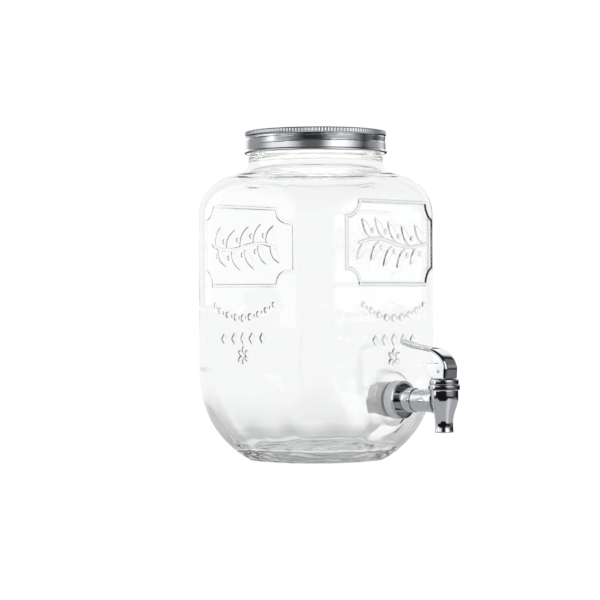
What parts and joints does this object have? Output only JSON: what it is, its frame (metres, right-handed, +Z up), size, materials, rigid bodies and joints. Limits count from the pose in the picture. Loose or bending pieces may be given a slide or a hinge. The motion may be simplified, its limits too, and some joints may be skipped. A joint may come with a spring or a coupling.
{
  "type": "glass dispenser jar",
  "caption": "Rounded-square clear glass jar with a screw lid and a lever tap low on its front face, for storing and pouring a liquid.",
  "frame": {"origin": "jar axis on the plane of the foot", "axes": "+Z up along the jar axis; -Y along the tap, out of the front face; +X to the right seen from the front"},
  "size_m": [0.1544, 0.2139, 0.257],
  "materials": {
    "glass": "clear, polished",
    "lid_metal": "satin tinplate",
    "seal_white": "matt",
    "chrome": "mirror",
    "silicone_grey": "satin, translucent",
    "nut_plastic": "satin, translucent",
    "rubber_black": "matt",
    "stem_steel": "bright"
  },
  "bodies": {
    "jar": {"glass_jar": "glass", "tap_shank": "chrome", "outer_washer": "silicone_grey", "inner_washer": "silicone_grey", "lock_nut": "nut_plastic", "body_o_ring": "rubber_black", "tap_body": "chrome", "tap_collar": "chrome", "tap_bonnet": "chrome", "stem_seal": "rubber_black", "return_spring": "stem_steel"},
    "lid_plate": {"lid_disc": "lid_metal", "lid_seal": "seal_white"},
    "lid_ring": {"lid_band": "lid_metal"},
    "stopper": {"seat_cup": "silicone_grey", "spring_washer": "stem_steel"},
    "stem": {"valve_stem": "stem_steel", "lever_pin": "stem_steel"},
    "handle": {"lever": "chrome"}
  },
  "joints": [
    {"name": "lid_rise", "type": "slide", "parent": "jar", "child": "lid_plate", "axis": [0, 0, 1], "range_m": [0, 0.02137]},
    {"name": "lid_turn", "type": "hinge", "parent": "lid_plate", "child": "lid_ring", "pos_m": [0, 0, 0.25], "axis": [0, 0, 1], "range_deg": [0, 1710]},
    {"name": "valve_lift", "type": "slide", "parent": "jar", "child": "stopper", "axis": [0, 0, 1], "range_m": [0, 0.00119], "deforming": ["return_spring"]},
    {"name": "lever_swivel", "type": "hinge", "parent": "stopper", "child": "stem", "pos_m": [0, -0.1249, 0.071], "axis": [0, 0, 1], "continuous": true},
    {"name": "lever_press", "type": "hinge", "parent": "stem", "child": "handle", "pos_m": [0, -0.1249, 0.071], "axis": [-1, 0, 0], "range_deg": [0, 20], "stiffness_Nm_per_rad": 0.4, "springref_deg": -5.73}
  ],
  "couplings": [
    {"joint": "lid_turn", "follows": "lid_rise", "rad_per_m": 1396.3},
    {"joint": "lever_press", "follows": "valve_lift", "rad_per_m": 294}
  ]
}
